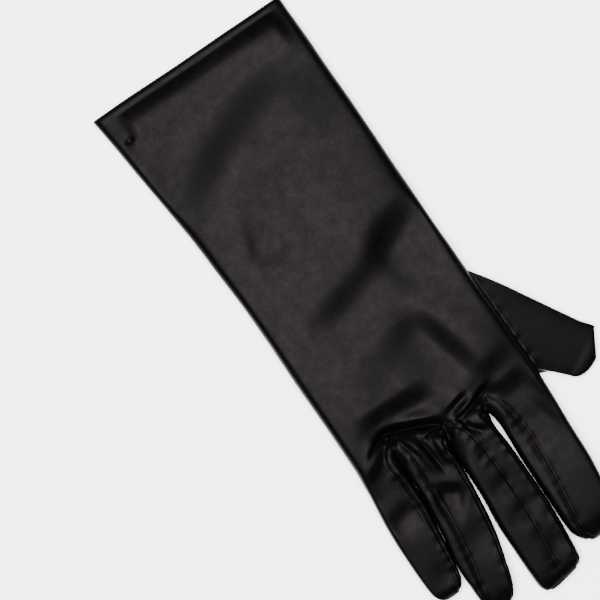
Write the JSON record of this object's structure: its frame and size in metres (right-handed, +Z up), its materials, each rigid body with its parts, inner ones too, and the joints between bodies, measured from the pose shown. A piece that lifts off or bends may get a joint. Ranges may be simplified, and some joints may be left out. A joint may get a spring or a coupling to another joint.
{
  "type": "dress glove",
  "caption": "Plain black satin dress glove for a right hand, lying palm down with its fingers together, thumb out to the side and hollow cuff open.",
  "frame": {"origin": "centre of the glove's box in plan, on the surface that its palm lies on", "axes": "+Y from the cuff to the fingertips, +X across the hand away from the thumb, +Z up out of the back of the hand"},
  "size_m": [0.1176, 0.264, 0.0141],
  "materials": {
    "satin": "satin"
  },
  "bodies": {
    "root": {"hand_shell": "satin", "thumb": "satin", "fourchette_index_middle": "satin", "fourchette_middle_ring": "satin", "fourchette_ring_little": "satin", "cuff_hem": "satin"}
  },
  "joints": []
}
